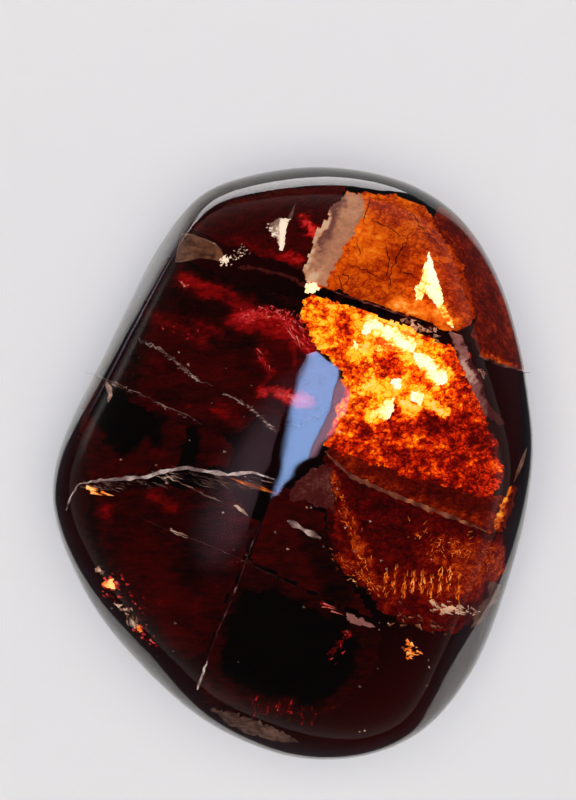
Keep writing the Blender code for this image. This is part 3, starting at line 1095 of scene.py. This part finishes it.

# %% [markdown]
# ## Dark blocks
#
# The cracks part the dark half of the stone into four blocks, each redder or blacker than the next.
# The absorption alone would turn all of them the same black. So a deep sheet lies in each: its faint
# wine-red glow is painted light for what shines through the crystal, and its strokes paint shade
# that turns it to black.

# %% The dark blocks
blocks = Flaws("dark_blocks", ember)
blocks.sheet(
    [(-17, 7.3), (-15.3, 6.7), (-13.1, 5.7), (-10.8, 4.6), (-7.9, 3.1), (-5, 1.5), (-5.6, -0.6),
     (-8.4, -0.6), (-11.5, -0.8), (-13.9, -1.3), (-17.4, -1.6), (-18.2, 2)],
    depth=1.9, level=0.2, cell=0.3, terrace=0.2,
    strokes=[
        (-15.4, 4.4, -14.6, 2.2, 0.8, 1.1, -0.3), (-14, 5.2, -12.8, 3.6, 0.5, 0.9, -0.2),
        (-11.8, 3.8, -12.2, 0, 0.2, 0.6, 0), (-8.4, 3.2, -9.2, -0.4, 0.25, 0.4, -0.2),
        (-14, -0.6, -11, 0.4, 0.5, 0.8, 0.24),
    ],
)
blocks.sheet(
    [(-4.2, -8.6), (0.2, -10.8), (4.5, -13), (7.5, -14.6), (7, -19), (3, -21.8), (-3, -21.8),
     (-7.5, -20.5), (-7.9, -18.7), (-6.4, -14.4), (-4.7, -10.4)],
    depth=1.9, level=0.17, cell=0.3, terrace=0.2,
    strokes=[(-2.5, -14.5, 2.2, -16.5, 1.6, 2.2, -0.3), (-3.5, -17, 1.5, -18.5, 1.3, 1.6, -0.3)],
)
blocks.sheet(
    [(-1.2, -1.8), (2.6, -4.6), (3, -8.2), (5.8, -11.6), (6.8, -13.6), (4.2, -12.6), (0.2, -10.6),
     (-3.6, -8.6), (-2.6, -5.2)],
    depth=1.9, level=0.25, cell=0.3, terrace=0.2,
    strokes=[(2, -7, 4, -11, 0.8, 1, 0.1)],
)
blocks.sheet(
    [(-17.5, -2.8), (-11, -2.2), (-5.5, -2.6), (-3, -5.5), (-4.2, -8.2), (-5.6, -12), (-7.4, -16.5),
     (-9.5, -17.4), (-13, -14.4), (-16, -10), (-17.9, -5.6)],
    depth=2.2, level=0.2, cell=0.3, terrace=0.2,
    strokes=[
        (-12.4, -2.9, -10.4, -3.9, 0.2, 0.5, 0.42), (-16.5, -4.4, -15.9, -4.6, 0.2, 0.6, 0.42),
        (-13, -8.5, -9.5, -14, 0.8, 1.8, 0.26), (-9, -9.5, -7, -4.5, 0.4, 1.5, 0.12),
        (-17.9, -3.5, -16.6, -9.2, 0.2, 0.8, 0.08), (-16, -10, -10, -17.4, 0.2, 0.8, 0.08),
    ],
)
blocks.make()

# %% [markdown]
# ## The table
#
# The stone lies on plain pale paper, on a darker table. Neither is part of the stone, so neither is
# attached to its body. One pale floor would be simpler, but the sides of the stone would mirror it
# and turn grey. The paper ends just outside the picture, so only the outermost rim mirrors it.

# %% The table
PAPER_WHITE = (0.8, 0.8, 0.78, 1)
TABLE_GREY = (0.3, 0.29, 0.28, 1)
MATT_ROUGHNESS = 0.9


def flat_sheet(name, low, high, level, colour):
    """A plain sheet between two corners, at that level."""
    shape = bmesh.new()
    bmesh.ops.create_grid(shape, x_segments=1, y_segments=1, size=0.5)
    size = (Vector(high) - Vector(low)) * MM
    middle = (Vector(low) + Vector(high)) / 2 * MM
    bmesh.ops.scale(shape, verts=shape.verts[:], vec=(*size, 1))
    bmesh.ops.translate(shape, verts=shape.verts[:], vec=(*middle, level * MM))
    sheet = as_object(shape, name)
    plain = Finish("plain_" + name)
    plain.set(Base_Color=colour, Roughness=MATT_ROUGHNESS)
    sheet.data.materials.append(plain.material)
    return sheet


paper = flat_sheet("paper", (-30, -35), (29, 45), -0.05, PAPER_WHITE)
flat_sheet("table", (-1500, -1500), (1500, 1500), -0.3, TABLE_GREY)
print("the paper lies just under the stone")

# %% [markdown]
# ## The studio's light
#
# The studio is a soft grey, brightest at the horizon. The crest mirrors the dark overhead, so one
# can look into the crystal there, and the rounded sides mirror the horizon. A picture of a studio
# would do this too, but a Color Ramp over the height is easier to change.

# %% The studio's light
STUDIO_STOPS = [(0.1, (0.4, 0.39, 0.38)), (0.5, (0.16, 0.155, 0.155)), (0.9, (0.05, 0.05, 0.055))]
STUDIO_STRENGTH = 1.3

world = bpy.data.worlds.new("studio")
bpy.context.scene.world = world
world.use_nodes = True
studio = world.node_tree
direction = add_node(studio, "ShaderNodeTexCoord").outputs["Generated"]
split = add_node(studio, "ShaderNodeSeparateXYZ", {"Vector": direction})
background = studio.nodes["Background"]
studio.links.new(add_ramp(studio, split.outputs["Z"], STUDIO_STOPS), background.inputs["Color"])
background.inputs["Strength"].default_value = STUDIO_STRENGTH
print("the studio has", len(STUDIO_STOPS), "greys")

# %% [markdown]
# ## Lamps with soft edges
#
# The polished stone mirrors each lamp, so a lamp's shape is the shape of a highlight, and a plain
# Area lamp has four hard corners. Two helpers change that with nodes in the lamp: one fades it
# towards the edge, and one draws curtains across it, each with a straight, soft hem.

# %% Two kinds of lamp
LAMP_MIDDLE = (0.5, 0.5, 0)
LAMP_EDGE = 0.5


def faded(light):
    """Lets a lamp fade from its middle to its edge, so that its reflection has no outline."""
    light.use_nodes = True
    tree = light.node_tree
    spot = add_node(tree, "ShaderNodeNewGeometry").outputs["Parametric"]
    aside = add_node(
        tree, "ShaderNodeVectorMath", {0: spot, 1: LAMP_MIDDLE}, operation="DISTANCE"
    ).outputs["Value"]
    fall = add_node(
        tree,
        "ShaderNodeMapRange",
        {"Value": aside, "From Min": LAMP_EDGE, "From Max": 0.0},
        interpolation_type="SMOOTHERSTEP",
    )
    tree.links.new(fall.outputs["Result"], tree.nodes["Emission"].inputs["Strength"])


def curtained(lamp, hems):
    """Hides a lamp beyond each hem: a point on it, the way to the open side, and its softness."""
    light = lamp.data
    light.use_nodes = True
    tree = light.node_tree
    spot = add_node(tree, "ShaderNodeNewGeometry").outputs["Parametric"]
    size = Vector((light.size, light.size_y, 0)) / MM
    open_share = 1.0
    for point, way, soft in hems:
        corner = lamp.location / MM - size / 2 - Vector((*point, 0))
        side = add_node(
            tree,
            "ShaderNodeVectorMath",
            {0: spot, 1: size, 2: (corner.x, corner.y, 0)},
            operation="MULTIPLY_ADD",
        ).outputs["Vector"]
        inward = add_node(
            tree, "ShaderNodeVectorMath", {0: side, 1: (*way, 0)}, operation="DOT_PRODUCT"
        ).outputs["Value"]
        fall = add_node(
            tree,
            "ShaderNodeMapRange",
            {"Value": inward, "From Max": soft},
            interpolation_type="SMOOTHSTEP",
        ).outputs["Result"]
        open_share = add_node(
            tree, "ShaderNodeMath", {0: open_share, 1: fall}, operation="MULTIPLY"
        ).outputs[0]
    tree.links.new(open_share, tree.nodes["Emission"].inputs["Strength"])


def softbox(name, place, aim, width, height, brightness, colour, soft=False):
    """A rectangular lamp that is as bright, per unit of its area, as the number says."""
    light = bpy.data.lights.new(name, "AREA")
    light.shape = "RECTANGLE"
    light.size = width * MM
    light.size_y = height * MM
    light.energy = brightness * math.pi * light.size * light.size_y
    light.color = colour
    if soft:
        faded(light)
    lamp = bpy.data.objects.new(name, light)
    bpy.context.scene.collection.objects.link(lamp)
    lamp.location = Vector(place) * MM
    lamp.rotation_euler = (Vector(aim) - Vector(place)).to_track_quat("-Z", "Y").to_euler()
    lamp.visible_camera = False
    print(name, "uses", round(light.energy, 3), "W")
    return lamp


# %% [markdown]
# ## The window and its haze
#
# The blue highlight on the crest is a small window overhead. Three hems give it slanted sides, and
# at the fourth the blue ends and a rosy edge starts, which is a second lamp a little higher. A
# wide, faint lamp lays a mauve haze over the crest. They aim exactly straight down, because any
# other aim would turn their rectangles.

# %% The window
WINDOW_SIZE = (100, 62)
HEMS = [
    ((-16, 35), (-0.49, -0.87), 2.5),
    ((0, -22), (0.0, 1.0), 4),
    ((-33, 20), (0.92, 0.4), 14),
]
window = softbox("window", (15, 5, 420), (15, 5, 0), *WINDOW_SIZE, 32, (0.34, 0.53, 1.0))
curtained(window, HEMS + [((31, 0), (-1.0, 0.0), 4)])
rosy_edge = softbox("window_edge", (15, 5, 430), (15, 5, 0), *WINDOW_SIZE, 12, (1.0, 0.5, 0.7))
curtained(rosy_edge, HEMS + [((29, 0), (1.0, 0.0), 4)])
softbox("window_haze", (-64, 0, 420), (-64, 0, 0), 150, 100, 1.7, (1.0, 0.58, 0.72), soft=True)

# %% [markdown]
# ## The other lamps
#
# Two soft boxes stand left and right. Two panels on the table, outside the picture, shine upwards
# and give the rounded edge of the stone its pale bands. The last lamp lights the paper alone, by
# light linking, so that the paper is bright and the stone isn't washed out.

# %% Soft boxes, panels and the table's lamp
WARM = (1.0, 0.97, 0.93)
softbox("left_softbox", (-620, 250, 250), (0, 0, 0), 400, 400, 1.2, WARM, soft=True)
softbox("right_softbox", (560, -100, 330), (0, 0, 0), 400, 400, 0.8, WARM, soft=True)
softbox("top_panel", (-14, 56, 1), (-14, 56, 10), 66, 24, 5.5, (1.0, 0.96, 0.97))
softbox("left_panel", (-52, 36, 1), (-52, 36, 10), 36, 44, 2.4, (0.85, 0.72, 0.95), soft=True)

table_lamp = softbox("table_lamp", (0, 0, 700), (0, 0, 0), 500, 500, 5.0, (1.0, 0.94, 0.82))
table_only = bpy.data.collections.new("table_only")
table_only.objects.link(paper)
table_lamp.light_linking.receiver_collection = table_only

# %% [markdown]
# ## The camera
#
# The camera looks straight down, as the photograph does, through a long lens, from as far as the
# size of the stone in the picture says. The Standard view transform keeps the reds deep.

# %% The camera
LENS = 85
SENSOR = 36

bpy.context.scene.view_settings.view_transform = "Standard"
lens = bpy.data.cameras.new("camera")
lens.lens = LENS
lens.sensor_width = SENSOR
camera = bpy.data.objects.new("camera", lens)
bpy.context.scene.collection.objects.link(camera)
bpy.context.scene.camera = camera
camera.location = Vector((*CAMERA_FOOT, CAMERA_HEIGHT)) * MM
print("the camera looks down from", CAMERA_HEIGHT, "mm")
